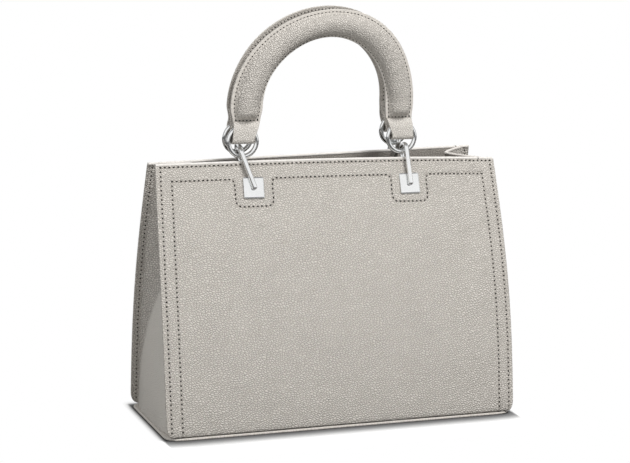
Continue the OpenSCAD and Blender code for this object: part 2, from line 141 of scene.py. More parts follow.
# Breadth and length of a tab's leather, and breadth of a gusset's, for the size of their grain
TAB_SIZE = (21, 62)
GUSSET_SPREAD = 75
# How smooth the gussets' low triangles are pressed, and how far they take their smooth tone, which is partly
# painted light for the light they catch
PRESSED_SHARE = 0.82

# Seams
PITCH, BORDER_PITCH = 3.6, 3.1
HOLE_W, SIDE_HOLE_W, HOLE_H = 1.2, 1.35, 0.24
# Lengths of the dark beads painted as shade in the needle holes down a side, along the top, on a handle's
# front and on its back
SIDE_HOLE, TOP_HOLE, BORDER_HOLE, STRAP_HOLE = 1.6, 2.1, 1.7, 1.3
# A thread's share of its holes' width, its height, and how far it runs over the stretch between holes
THREAD_SHARE, THREAD_H, THREAD_LAP = 0.85, 0.6, 0.5
OUTER_ROW_IN = 3.9
OUTER_ROW_DROP = 1.5
INNER_ROW_IN = 12.6
INNER_ROW_DROP = 12.3
DIP_HALF_W = 15.6
DIP_DROP = 33.3
DIP_R = 5
SHOULDER_R = 4
ROW_FOOT = 5
ROW_STEPS = 60
GUSSET_ROW_TOP = 0.985


# Curves of the body
def corner_inset(v):
    h = min(1, v * WALL_H / CORNER_H)
    return CORNER_W * (1 - sqrt(max(0, 1 - (1 - h) ** 2)))


def straight_half_w(v):
    return BASE_W / 2 + (MOUTH_W - BASE_W) / 2 * v + SIDE_SWELL * sin(pi * v)


def half_w(v):
    return straight_half_w(v) - corner_inset(v)


def wall_top(side, s):
    if side == FRONT:
        return BASE_T + WALL_H - CORNER_DROOP * ((1 + s) / 2) ** 4
    return BASE_T + WALL_H + BACK_RISE * (1 - s * s) + BACK_CLIMB * s * (1 + s) + BACK_CLIMB * (s - s * s) / 2


def wall_point(side, s, v, depth=0.0):
    """Point of a wall at a share s of its half width, a share v of its height and a depth inside it."""
    top_y = FRONT_TOP_Y if side == FRONT else BACK_TOP_Y + MOUTH_SKEW * s + MOUTH_BOW * s * s
    y = BASE_D / 2 * (1 - v) + top_y * v + BELLY * sin(pi * v) - depth
    return Vector((s * half_w(v), side * y, BASE_T + (wall_top(side, s) - BASE_T) * v))


def soft_min(a, b):
    return 0 if a <= 0 or b <= 0 else a * b / (a**BLEND_POWER + b**BLEND_POWER) ** (1 / BLEND_POWER)


def clamp(t):
    return min(1, max(0, t))


def between(a, b, t):
    return a + (b - a) * t


def eased(t):
    """A share that starts and ends softly."""
    t = clamp(t)
    return t * t * (3 - 2 * t)


def superellipse(c):
    """Squares off a circle's sine or cosine, for a section with rounded corners."""
    return copysign(abs(c) ** 0.55, c)


def ridge_height(v):
    """Share of the fold's depth that the ridges of a gusset have reached at a height share."""
    return min(1, (max(v, 0) / RIDGE_APEX_SHARE) ** RIDGE_POWER)


def fold_in(v, q):
    """How far a gusset folds inward at a height share and a share of the way from front to back."""
    if v <= 0:
        return 0
    return FOLD_DEPTH * v**FOLD_POWER * soft_min(2 * min(q, 1 - q), ridge_height(v))


def flange_root(end, side, v):
    return wall_point(side, end * (straight_half_w(v) - FLANGE_W) / half_w(v), v, FLANGE_DEPTH)


def fold_point(end, v, q):
    p = flange_root(end, FRONT, v).lerp(flange_root(end, BACK, v), q)
    p.x = end * (straight_half_w(v) - FLANGE_W - fold_in(v, q))
    return p


def fold_inward(end, v, q):
    t = fold_point(end, v, min(1, q + 0.01)) - fold_point(end, v, max(0, q - 0.01))
    return Vector((-end * t.y, end * t.x, 0)).normalized()


# Frames of the hooks and handles
def hook_frame(side, s):
    low, top = wall_point(side, s, FACING_SHARE), wall_point(side, s, 1)
    reach = PLATE_SIDE / BASE_W
    up = (top - low).normalized()
    along = (side * (wall_point(side, s + reach, 1) - wall_point(side, s - reach, 1))).normalized()
    out = up.cross(along).normalized()
    return out.cross(up), out, up, top - PLATE_DROP * up


def plate_share(end):
    return end * PLATE_X / straight_half_w(1)


def arch_centre(side, end):
    flat, out, up, seat = hook_frame(side, plate_share(end))
    a = radians(-side * LEANS[side, end])
    return seat + flat * HOOK_REACH * sin(a) + up * HOOK_REACH * cos(a) - out * WALL_T / 2


def handle_frame(side):
    a, b = arch_centre(side, LEFT), arch_centre(side, RIGHT)
    line = (b - a).normalized()
    along = -side * line
    level_in = Vector((0, 0, 1)).cross(along).normalized()
    up = along.cross(level_in)
    lean = radians(HANDLE_LEAN[side])
    tilt_up = up * cos(lean) + level_in * sin(lean)
    tilt_in = level_in * cos(lean) - up * sin(lean)
    return along, tilt_in, tilt_up, a + line * (HANDLE_X[side] - a.x) / line.x


def in_frame(axes, p):
    return axes[0] * p[0] + axes[1] * p[1] + axes[2] * p[2] + axes[3]


def frame_matrix(x, y, z, place):
    """Carries a piece from the origin to a place, turned to three directions."""
    matrix = Matrix((x, y, z)).transposed().to_4x4()
    matrix.translation = place
    return matrix


# Making pieces
def deselect():
    if bpy.context.object and bpy.context.object.mode != "OBJECT":
        bpy.ops.object.mode_set(mode="OBJECT")
    bpy.ops.object.select_all(action="DESELECT")


def make_active(obj):
    deselect()
    obj.select_set(True)
    bpy.context.view_layer.objects.active = obj


def modify(obj, kind, **settings):
    """Gives a piece a modifier and applies it."""
    make_active(obj)
    modifier = obj.modifiers.new(kind.title(), kind)
    for key, value in settings.items():
        setattr(modifier, key, value)
    bpy.ops.object.modifier_apply(modifier=modifier.name)


def edit(obj, *operators, select="SELECT"):
    """Runs edit mode operators on all of a piece, or on what select leaves selected."""
    make_active(obj)
    bpy.ops.object.mode_set(mode="EDIT")
    if select:
        bpy.ops.mesh.select_all(action=select)
    for operator in operators:
        operator()
    bpy.ops.object.mode_set(mode="OBJECT")


def just_made(name):
    """The piece just made, under its own name."""
    obj = bpy.context.object
    obj.name = obj.data.name = name
    return obj


def shaped_grid(name, across, along, place):
    """A grid whose points go where place puts them, for two shares from 0 to 1."""
    deselect()
    bpy.ops.mesh.primitive_grid_add(x_subdivisions=across, y_subdivisions=along, size=2)
    obj = just_made(name)
    for point in obj.data.vertices:
        point.co = place((point.co.x + 1) / 2, (point.co.y + 1) / 2) * MM
    return obj


def grid_shares(across, along):
    """The two shares of each point of a grid, in the order of its points."""
    return [(i / across, j / along) for j in range(along + 1) for i in range(across + 1)]


def merge_points():
    bpy.ops.mesh.remove_doubles(threshold=1e-6)


def face_outward():
    bpy.ops.mesh.normals_make_consistent(inside=False)


def closed_sweep(name, around, along, place):
    """A grid closed round its section and capped at both ends."""
    obj = shaped_grid(name, around, along, place)
    edit(obj, merge_points, lambda: bpy.ops.mesh.fill_holes(sides=0), face_outward)
    return obj


def round_edges(obj, r, segments):
    modify(obj, "BEVEL", width=r * MM, segments=segments, limit_method="ANGLE", angle_limit=SHARP_TURN)


def thicken(obj, thickness, edge_r):
    """Turns a sheet's outer face into a sheet of leather with rounded, painted edges."""
    modify(obj, "SOLIDIFY", thickness=thickness * MM, offset=-1, use_even_offset=True, material_offset_rim=1)
    round_edges(obj, edge_r, 2)


def dress(obj, body, materials, slot, *replaces, smooth=40):
    """Gives a piece its materials and its body, and hides the solids that it replaces; slot is not used.
    Edges under the smooth angle don't show.
    """
    for material in materials:
        obj.data.materials.append(material)
    make_active(obj)
    bpy.ops.object.shade_smooth_by_angle(angle=radians(smooth))
    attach(obj, body)
    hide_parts(*replaces)


def keep_values(obj, name, values):
    """Stores a number at each point of a piece, for its material to read."""
    attribute = obj.data.attributes.new(name, "FLOAT", "POINT")
    attribute.data.foreach_set("value", values)


# Materials
def linear(code):
    """A colour written as sRGB hex, turned to linear values."""
    values = [int(code[i : i + 2], 16) / 255 for i in (1, 3, 5)]
    return [v / 12.92 if v <= 0.04045 else ((v + 0.055) / 1.055) ** 2.4 for v in values] + [1]


def node_adder(owner):
    """Empties the node tree of a material or a world, and gives the function that fills it."""
    owner.use_nodes = True
    tree = owner.node_tree
    tree.nodes.clear()

    def add(kind, inputs=(), **settings):
        """Adds a node with its settings. An input gets a value, a hex colour, a socket or a node's output."""
        made = tree.nodes.new("ShaderNode" + kind)
        for key, value in settings.items():
            setattr(made, key, value)
        for key, value in inputs.items() if isinstance(inputs, dict) else enumerate(inputs):
            if isinstance(value, bpy.types.Node):
                value = value.outputs[0]
            if isinstance(value, bpy.types.NodeSocket):
                tree.links.new(value, made.inputs[key])
            else:
                made.inputs[key].default_value = linear(value) if isinstance(value, str) else value
        return made

    return add


SOFT_ENDS = {"interpolation_type": "SMOOTHSTEP"}
TIMES_PLUS = {"operation": "MULTIPLY_ADD"}
# How a pebble is stretched along and across its lay
PEBBLE_STRETCH = (1.39, 0.83, 1.0)
# How far from a stitch row, in mm, the leather starts and ends to be drawn down, and by how much; over the
# same reach its colour is darkened as painted shade
SEAM_NEAR, SEAM_FAR, SEAM_DIP = 0.3, 1.5, 0.3


def grained_leather(
    name, colours, grain, height, size=None, seams=(), smooth=None, rough=0.5, creases=0, lay=0
):
    """Embossed leather: raised pebbles with thin dark valleys, which break its soft gloss into fine specks.

    colours are those of the valleys and the pebbles. grain and height are a pebble's width and rise, and
    size is that of a piece whose grain follows its own map, all in mm. seams are stored distances to
    stitch rows, along which the colour is darkened as painted shade in their grooves. smooth is the colour
    of places pressed smooth, as their stored calm says; on the gussets that tone is partly painted light.
    creases is the rise of creases across. lay is the angle from the piece's width to the pebbles' long way.
    """
    material = bpy.data.materials.new(name)
    add = node_adder(material)
    place = add("TexCoord").outputs["UV" if size else "Object"]
    if size:
        place = add("Mapping", {"Vector": place, "Scale": (size[0] * MM, size[1] * MM, 1)})
    per_metre = 1 / (grain * MM)
    # A slow drift stretches the cells here and there, as in a natural grain
    drift = add("TexNoise", {"Vector": place, "Scale": per_metre * 0.22, "Detail": 1.0})
    shift = add("VectorMath", [drift.outputs["Color"], (0.5, 0.5, 0.5)], operation="SUBTRACT")
    push = (grain * MM * 1.2,) * 3
    pushed = add("VectorMath", [shift, push, place], **TIMES_PLUS)
    turn = (0, 0, radians(lay))
    stretch = {"Vector": pushed, "Rotation": turn, "Scale": PEBBLE_STRETCH}
    laid = add("Mapping", stretch, vector_type="TEXTURE")
    edges = {"feature": "DISTANCE_TO_EDGE", "voronoi_dimensions": "2D"}
    cells = add("TexVoronoi", {"Vector": laid, "Scale": per_metre}, **edges).outputs["Distance"]
    domes, lines = (add("MapRange", [cells, 0.0, reach], **SOFT_ENDS) for reach in (0.4, 0.2))
    pores = add("TexNoise", {"Vector": place, "Scale": per_metre * 2.6, "Detail": 3.0})
    # Some patches are embossed deeper than others
    patches = add("TexNoise", {"Vector": place, "Scale": 40.0, "Detail": 3.0})
    depth = add("Math", [patches, 0.5, 0.75], **TIMES_PLUS)
    if smooth:
        share = add("Attribute", attribute_name="calm").outputs["Fac"]
        kept = add("Math", [share, -0.85, 1.0], **TIMES_PLUS)
        depth = add("Math", [depth, kept], operation="MULTIPLY")
    speckled = add("Math", [pores, 0.6, lines], **TIMES_PLUS)
    relief = add("Math", [pores, 0.35, domes], **TIMES_PLUS)
    relief = add("Math", [relief, depth], operation="MULTIPLY")
    rise = add("Math", [relief, height * MM], operation="MULTIPLY")
    shade = add("MapRange", [speckled, 0.1, 1.15])
    if creases:
        across = add("Mapping", {"Vector": place, "Scale": (70.0, 420.0, 1.0)})
        folds = add("TexNoise", {"Vector": across, "Scale": 1.0, "Detail": 3.0, "Distortion": 0.4})
        rise = add("Math", [folds, creases * MM, rise], **TIMES_PLUS)
    for seam in seams:
        distance = add("Attribute", attribute_name=seam)
        away = add("Math", [distance.outputs["Fac"]], operation="ABSOLUTE")
        near = add("MapRange", [away, SEAM_NEAR * MM, SEAM_FAR * MM, 1.0, 0.0], **SOFT_ENDS)
        rise = add("Math", [near, -SEAM_DIP * MM, rise], **TIMES_PLUS)
        # Painted shade: near a stitch row the colour is darkened, for the shade in its groove
        shade = add("Math", [near, -0.3, shade], **TIMES_PLUS)
    mixed = add("Mix", {0: shade, 6: colours[0], 7: colours[1]}, data_type="RGBA")
    if smooth:
        mixed = add("Mix", {0: share, 6: mixed.outputs[2], 7: smooth}, data_type="RGBA")
    bump = add("Bump", {"Height": rise, "Distance": 1.0})
    gloss = add("Math", [pores, 0.2, rough - 0.1], **TIMES_PLUS)
    shader = add("BsdfPrincipled", {
        "Base Color": mixed.outputs[2], "Normal": bump, "Roughness": gloss,
        "IOR": 1.46, "Specular IOR Level": 0.4,
    })
    add("OutputMaterial", {"Surface": shader})
    return material


def woven_cloth(name, colour, gap, thread):
    """Plain woven lining: crossing threads give it a fine dull square texture."""
    material = bpy.data.materials.new(name)
    add = node_adder(material)
    place = add("TexCoord").outputs["Object"]
    turns = pi / (thread * MM)
    waves = []
    for turn in ((turns, 0.0, 0.0), (0.0, turns, turns)):
        line = add("VectorMath", [place, turn], operation="DOT_PRODUCT")
        wave = add("Math", [line.outputs["Value"]], operation="SINE")
        waves.append(add("Math", [wave, 0.5, 0.5], **TIMES_PLUS))
    weave = add("Math", waves, operation="MAXIMUM")
    slubs = add("TexNoise", {"Vector": place, "Scale": 180.0, "Detail": 4.0})
    tone = add("Math", [slubs, 0.5, weave], **TIMES_PLUS)
    mixed = add("Mix", {0: tone, 6: gap, 7: colour}, data_type="RGBA")
    bump = add("Bump", {"Height": weave, "Distance": 0.1 * MM, "Strength": 0.8})
    shader = add("BsdfPrincipled", {"Base Color": mixed.outputs[2], "Normal": bump, "Roughness": 0.85})
    add("OutputMaterial", {"Surface": shader})
    return material


def flecked(name, colour, other, scale, rough, rise, join=None):
    """A plain finish, slightly uneven, with soft flecks of a second tone, and a line of painted shade where a
    strip's ends meet.
    """
    material = bpy.data.materials.new(name)
    add = node_adder(material)
    place = add("TexCoord").outputs["Object"]
    flecks = add("TexNoise", {"Vector": place, "Scale": scale, "Detail": 5.0, "Roughness": 0.6})
    tone = add("MapRange", [flecks, 0.35, 0.65])
    mixed = add("Mix", {0: tone, 6: other, 7: colour}, data_type="RGBA")
    # Painted shade: a dark line where a strip's ends meet, for the shade in the gap between them
    if join:
        aside = add("Math", [add("SeparateXYZ", [place]), -join * MM], operation="ADD")
        aside = add("Math", [aside], operation="ABSOLUTE")
        off = add("MapRange", [aside, 0.25 * MM, 0.5 * MM])
        mixed = add("Mix", {0: off, 6: "#4A4641", 7: mixed.outputs[2]}, data_type="RGBA")
    bump = add("Bump", {"Height": flecks, "Distance": rise * MM})
    shader = add("BsdfPrincipled", {"Base Color": mixed.outputs[2], "Normal": bump, "Roughness": rough})
    add("OutputMaterial", {"Surface": shader})
    return material


def polished_metal(name, colour, scuffed, rough):
    """Nickel plated zinc: a bright mirror, softened by faint rubbing marks."""
    material = bpy.data.materials.new(name)
    add = node_adder(material)
    place = add("TexCoord").outputs["Object"]
    marks = add("TexNoise", {"Vector": place, "Scale": 900.0, "Detail": 4.0})
    cloud = add("TexNoise", {"Vector": place, "Scale": 120.0, "Detail": 3.0})
    mixed = add("Mix", {0: cloud, 6: scuffed, 7: colour}, data_type="RGBA")
    gloss = add("Math", [marks, 0.05, rough - 0.02], **TIMES_PLUS)
    bump = add("Bump", {"Height": cloud, "Distance": 0.005 * MM})
    shader = add("BsdfPrincipled", {
        "Base Color": mixed.outputs[2], "Normal": bump, "Roughness": gloss, "Metallic": 1.0,
    })
    add("OutputMaterial", {"Surface": shader})
    return material


LEG = {side: ARCH_Z[side] - COVER_END_Z for side in SIDES}
HANDLE_LENGTH = {side: 2 * LEG[side] + pi * ARCH_R[side] for side in SIDES}
# Coated split leather with an embossed pebble of about 2 mm: a pale grey beige with fine broken highlights
panel_leather = grained_leather(
    "panel_leather", ("#8E8880", "#CBC6BF"), 1.8, 0.45, size=(BASE_W, WALL_H),
    seams=("outer_row", "inner_row"), lay=-25,
)
# The same leather on the folded sides, embossed deeper, with its low triangles pressed nearly smooth and
# given a paler smooth tone, partly painted as the light they catch
gusset_leather = grained_leather(
    "gusset_leather", ("#5C564E", "#D2CDC6"), 1.9, 0.6, size=(GUSSET_SPREAD, WALL_H), smooth="#CECAC3"
)
# The same leather stretched over the handles' padding, creased across, its flat borders pressed smooth
handle_leather = grained_leather(
    "handle_leather", ("#88827A", "#CFCAC3"), 1.55, 0.5, size=(HANDLE_W, HANDLE_LENGTH[FRONT]),
    smooth="#C9C4BD", creases=0.9, rough=0.47,
)
# The same leather, folded over the rings
tab_leather = grained_leather("tab_leather", ("#9A948C", "#DCD7D0"), 1.6, 0.3, size=TAB_SIZE)
# The flat strap inside the handles: a darker leather, nearly without relief
strap_leather = grained_leather(
    "strap_leather", ("#857F77", "#B9B4AD"), 1.6, 0.2, size=(HANDLE_W, HANDLE_LENGTH[FRONT])
)
# The base, whose grain the bag's weight presses flat
base_leather = grained_leather("base_leather", ("#B6B1AA", "#D0CBC4"), 1.7, 0.05)
# The band inside the mouth: the same leather, flatter, painted darker as the shade inside the mouth
shaded_facing_leather = grained_leather(
    "shaded_facing_leather", ("#857F77", "#B0AAA3"), 1.8, 0.2, size=(BASE_W, WALL_H * (1 - FACING_SHARE))
)
# Acrylic edge paint over the cut or folded edge: pale, smooth and slightly glossy
edge_paint = flecked("edge_paint", "#D8D3CD", "#CBC6C0", 350.0, 0.42, 0.05)
# The strips over the top edges: edge paint, the palest line on the bag, partly a painted highlight for their
# tops facing the light, with painted shade at the join where their ends meet
strip_paint_and_highlight = flecked("strip_paint_and_highlight", "#E2DED9", "#D6D2CC", 350.0, 0.42, 0.05, join=JOIN_X)
# Bonded polyester thread, a little paler than the leather
thread = flecked("bonded_thread", "#C6C1BA", "#A7A199", 1500.0, 0.6, 0.08)
# Painted shade: dark beads for the shaded inside of the needle holes
painted_hole_shade = flecked("painted_hole_shade", "#26231F", "#1A1815", 1500.0, 0.9, 0.02)
# Polyester lining cloth, its weave drawn at 0.6 mm so that it shows
lining_cloth = woven_cloth("lining_cloth", "#8D877F", "#6E6860", 0.6)
# Grey bag board, hidden between leather and lining
bag_board = flecked("bag_board", "#8E8A84", "#7B766F", 400.0, 0.9, 0.05)
# Nickel plated zinc alloy
nickel = polished_metal("nickel_plate", "#F3F4F4", "#E9EAEA", 0.16)


# Seams
def bead(name, length, width, height):
    """A small long bead, lying on the origin along X."""
    deselect()
    bpy.ops.mesh.primitive_uv_sphere_add(segments=8, ring_count=6, radius=MM / 2)
    obj = just_made(name)
    turn = Matrix.Rotation(radians(90), 4, "Y")
    obj.data.transform(Matrix.Diagonal((length, width, height, 1)) @ turn)
    make_active(obj)
    bpy.ops.object.shade_smooth()
    return obj


def stretch_at(lengths, want):
    """The stretch of a line that a length from its start falls in, and the share of it passed."""
    k = 0
    while k < len(lengths) - 2 and lengths[k + 1] < want:
        k += 1
    return k, (want - lengths[k]) / (lengths[k + 1] - lengths[k])


def evenly(samples, pitch):
    """Places at every half step of the pitch along a row of points with their outward directions."""
    lengths = [0.0]
    for (p, _), (q, _) in zip(samples, samples[1:]):
        lengths.append(lengths[-1] + (q - p).length)
    halves = 2 * max(1, round(lengths[-1] / pitch))
    places = []
    for i in range(halves + 1):
        k, share = stretch_at(lengths, i / halves * lengths[-1])
        (p, out), (q, out_next) = samples[k], samples[k + 1]
        x = (q - p).normalized()
        y = out.lerp(out_next, share).cross(x).normalized()
        places.append(frame_matrix(x, y, x.cross(y), p.lerp(q, share) * MM))
    return places


def copies(template, name, places):
    """Copies a small piece to each place, each with its own mesh, and joins them."""
    deselect()
    made = []
    for place in places:
        one = template.copy()
        one.data = template.data.copy()
        one.data.transform(place)
        scene.collection.objects.link(one)
        one.select_set(True)
        made.append(one)
    bpy.context.view_layer.objects.active = made[0]
    bpy.ops.object.join()
    return just_made(name)


def sew(name, body, rows, hole, width=HOLE_W, pitch=PITCH):
    """Sews rows: a thread from hole to hole, and between threads a dark bead of the given length, painted as
    the shade in a needle hole.
    """
    at_threads, at_holes = [], []
    for samples in rows:
        places = evenly(samples, pitch)
        at_threads += places[1::2]
        at_holes += places[::2]
    for kind, length, wide, high, places, material in (
        ("thread", pitch - hole + THREAD_LAP, width * THREAD_SHARE, THREAD_H, at_threads, thread),
        ("holes", hole, width, HOLE_H, at_holes, painted_hole_shade),
    ):
        template = bead(kind, length, wide, high)
        template.data.materials.append(material)
        piece = copies(template, name + "_" + kind, places)
        bpy.data.objects.remove(template)
        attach(piece, body)


# Walls
def uneven(x, z):
    """Slight waviness of leather glued over board, in mm."""
    broad, fine = noise.noise(Vector((x / 38, 0.3, z / 38))), noise.noise(Vector((x / 14, 7.1, z / 14)))
    return 0.45 * broad + 0.2 * fine


def wall_skin(side, s, v):
    """Outer face of a finished wall: uneven, its foot tucked in, the front's top raised in the middle."""
    p = wall_point(side, s, v)
    middle = 1 - s * s
    p.z += middle * (FRONT_RISE if side == FRONT else 0) * v**3
    p.y += side * uneven(p.x, p.z + 60 * side) * min(1, 6 * (1 - abs(s)), 6 * (1 - v), 6 * v)
    p.y -= side * FOOT_TUCK * max(0, 1 - v * WALL_H / FOOT_TUCK_H) ** 2
    return p


def skin_spot(side, x, drop):
    """Point of a finished wall at distances from its middle and its top, and the direction out of it."""
    v = min(0.999, max(0.001, 1 - drop / WALL_H))
    s = max(-0.999, min(0.999, x / half_w(v)))
    p = wall_skin(side, s, v)
    out = (wall_skin(side, s, v - 0.001) - p).cross(wall_skin(side, s - side * 0.002, v) - p)
    return p, out.normalized()


def edge_distance(x, drop):
    return straight_half_w(1 - drop / WALL_H) - abs(x)


def dip_distance(x, drop):
    """Distance outside the rounded frame that the inner row makes round a plate."""
    px = abs(abs(x) - PLATE_X) - (DIP_HALF_W - DIP_R)
    pz = abs(drop) - (DIP_DROP - DIP_R)
    return hypot(max(px, 0), max(pz, 0)) + min(max(px, pz), 0) - DIP_R


def outer_row(x, drop):
    return min(edge_distance(x, drop) - OUTER_ROW_IN, drop - OUTER_ROW_DROP)


def inner_row(x, drop):
    return min(edge_distance(x, drop) - INNER_ROW_IN, drop - INNER_ROW_DROP, dip_distance(x, drop))


def side_row(side, end, inset, top_drop):
    """Samples down a wall's side, at a distance from its edge."""
    drops = [between(top_drop, WALL_H - ROW_FOOT, i / ROW_STEPS) for i in range(ROW_STEPS + 1)]
    return [skin_spot(side, end * (straight_half_w(1 - d / WALL_H) - inset), d) for d in drops]


def level_row(side, x_a, x_b, drop):
    count = max(4, int((x_b - x_a) / 4))
    return [skin_spot(side, between(x_a, x_b, i / count), drop) for i in range(count + 1)]


def dip_row(side, end):
    """Samples of the inner row where it goes down, along and up round a plate."""
    left, right = end * PLATE_X - DIP_HALF_W, end * PLATE_X + DIP_HALF_W
    high, low = INNER_ROW_DROP + SHOULDER_R, DIP_DROP - DIP_R
    path = []
    # Each bend has a centre, a radius, its first and last angle, and the steps of the straight run before it
    for x, drop, r, first, last, steps in (
        (left - SHOULDER_R, high, SHOULDER_R, -90, 0, 0),
        (left + DIP_R, low, DIP_R, 180, 90, 5),
        (right - DIP_R, low, DIP_R, 90, 0, 8),
        (right + SHOULDER_R, high, SHOULDER_R, 180, 270, 5),
    ):
        turns = [radians(between(first, last, i / 6)) for i in range(7)]
        bend = [(x + r * cos(turn), drop + r * sin(turn)) for turn in turns]
        for i in range(1, steps):
            path.append([between(a, b, 1 / (steps - i + 1)) for a, b in zip(path[-1], bend[0])])
        path += bend
    return [skin_spot(side, x, drop) for x, drop in path]


def strip_section(a, middle, half_w, lift, half_h):
    """How far in from a sheet's face and how high an edge strip is, at a share a of the way round it."""
    turn = 2 * pi * a
    return middle - half_w * superellipse(cos(turn)), lift + half_h * superellipse(sin(turn))


def inner_sheet(name, side, v_span, depth, thickness, columns, rows):
    """A layer inside a wall, between the gussets' flanges, its face at a depth under the wall's."""
    def place(a, b):
        v = between(*v_span, b)
        s = side * (2 * a - 1) * (straight_half_w(v) - FLANGE_W - GUSSET_T / 2) / half_w(v)
        return wall_point(side, s, v, depth)

    obj = shaped_grid(name, columns, rows, place)
    thicken(obj, thickness, edge_r=0.2)
    return obj


def wall(side):
    """One wall of leather: its panel, edge strip, inner facing, lining and seams."""
    label = SIDES[side]
    panel = shaped_grid(
        label + "_panel_leather", 200, 140,
        lambda a, b: wall_skin(side, -side * (2 * a - 1), b + (1 - b) * FOOT_GAP / WALL_H),
    )
    points = [point.co / MM for point in panel.data.vertices]
    for name, row in (("outer_row", outer_row), ("inner_row", inner_row)):
        keep_values(panel, name, [row(p.x, wall_top(side, 0) - p.z) * MM for p in points])
    thicken(panel, LEATHER_T, edge_r=0.4)
    dress(panel, "body", (panel_leather, edge_paint), "leather", label + "_panel")

    def strip_place(a, b):
        across, rise = strip_section(a, WALL_T / 2, WALL_T / 2 + STRIP_LAP, STRIP_LIFT, STRIP_HALF_H)
        s = -side * (2 * b - 1) * 0.997
        inner = wall_point(side, s, 1, 1) - wall_point(side, s, 1)
        return wall_skin(side, s, 1) + inner * across + Vector((0, 0, rise))

    strip = closed_sweep(label + "_edge_strip", 20, 120, strip_place)
    dress(strip, "body", (strip_paint_and_highlight,), "edge_leather", label + "_top_strip")
    facing = inner_sheet(label + "_inner_facing", side, (FACING_SHARE, 0.998), WALL_T, FACING_T, 90, 14)
    dress(facing, "body", (shaded_facing_leather, edge_paint), "leather", label + "_facing")
    lining_span = (0.015, FACING_SHARE + 0.005)
    lining = inner_sheet(label + "_inner_lining", side, lining_span, LINING_DEPTH, LINING_T, 90, 50)
    dress(lining, "body", (lining_cloth,), "lining", label + "_lining")

    insets = ((OUTER_ROW_IN, OUTER_ROW_DROP), (INNER_ROW_IN, INNER_ROW_DROP))
    sides = [side_row(side, end, inset, drop) for inset, drop in insets for end in ENDS]
    sew(label + "_side_seams", "body", sides, SIDE_HOLE, width=SIDE_HOLE_W)
    corner = straight_half_w(1) - OUTER_ROW_IN
    inner_corner = straight_half_w(1) - INNER_ROW_IN
    near, far = PLATE_X - DIP_HALF_W - SHOULDER_R, PLATE_X + DIP_HALF_W + SHOULDER_R
    stops = (-inner_corner, -far, -near, near, far, inner_corner)
    rows = [level_row(side, -corner, corner, OUTER_ROW_DROP)]
    rows += [level_row(side, x_a, x_b, INNER_ROW_DROP) for x_a, x_b in zip(stops[::2], stops[1::2])]
    sew(label + "_top_seams", "body", rows + [dip_row(side, end) for end in ENDS], TOP_HOLE)


# Gussets
def gusset_skin(end, v, t):
    """Point across a gusset's outer face, from its front flange's tip to its back flange's."""
    for side, share in ((FRONT, t), (BACK, 1 - t)):
        if share < FLANGE_SHARE:
            tip = wall_point(side, end, v, FLANGE_DEPTH)
            return tip.lerp(flange_root(end, side, v), share / FLANGE_SHARE)
    q = (t - FLANGE_SHARE) / (1 - 2 * FLANGE_SHARE)
    p = fold_point(end, v, q)
    inside = min(1, 4 * min(q, 1 - q))
    swell = FOOT_SWELL * max(0, 1 - v / FOOT_SWELL_TOP) ** 2
    p.x += end * (uneven(p.y + 90 * end, p.z) * 0.8 + swell) * inside
    return p


def lower_fold_share(t, v):
    """How far a place lies on the smooth triangle below the fold lines, from 0 to 1."""
    q = clamp((t - FLANGE_SHARE) / (1 - 2 * FLANGE_SHARE))
    return clamp((2 * min(q, 1 - q) - ridge_height(v)) / 0.12)


def gusset(end):
    """One folded side of the bag: its leather with both flanges, its lining, edge strip and seams."""
    label = ENDS[end]
    leather = shaped_grid(
        label + "_gusset_leather", 110, 110, lambda a, b: gusset_skin(end, b, a if end == RIGHT else 1 - a)
    )
    # The low triangles are pressed smooth, and their smooth tone is partly painted light, for the light that
    # they catch
    keep_values(leather, "calm", [PRESSED_SHARE * lower_fold_share(a, b) for a, b in grid_shares(110, 110)])
    modify(leather, "SMOOTH", factor=0.5, iterations=2)
    thicken(leather, GUSSET_T, edge_r=0.35)
    dress(leather, "body", (gusset_leather, edge_paint), "leather", label + "_gusset")

    def lining_place(a, b):
        q, v = between(0.1, 0.9, a if end == LEFT else 1 - a), between(0.05, 0.995, b)
        return fold_point(end, v, q) + (GUSSET_T + LINING_T) * fold_inward(end, v, q)

    lining = shaped_grid(label + "_gusset_inner_lining", 50, 50, lining_place)
    thicken(lining, LINING_T, edge_r=0.2)
    dress(lining, "body", (lining_cloth,), "lining", label + "_gusset_lining")

    def strip_place(a, b):
        q = between(0.03, 0.97, b if end == RIGHT else 1 - b)
        inward = fold_inward(end, 1, q)
        across, rise = strip_section(a, (GUSSET_T + LINING_T) / 2, half_w=1.35, lift=0.2, half_h=0.9)
        return fold_point(end, 1, q) + inward * across + Vector((0, 0, rise))

    strip = closed_sweep(label + "_gusset_edge_strip", 16, 60, strip_place)
    dress(strip, "body", (edge_paint,), "edge_leather", label + "_gusset_strip")

    rows = []
    t = FLANGE_SHARE * OUTER_ROW_IN / FLANGE_W
    for across in (t, 1 - t):
        samples = []
        for i in range(ROW_STEPS + 1):
            v = between(GUSSET_ROW_TOP, ROW_FOOT / WALL_H, i / ROW_STEPS)
            p, up = gusset_skin(end, v, across), gusset_skin(end, v - 0.01, across)
            on = gusset_skin(end, v, across + 0.005)
            samples.append((p, (end * (on - p).cross(p - up)).normalized()))
        rows.append(samples)
    sew(label + "_gusset_seams", "body", rows, SIDE_HOLE)


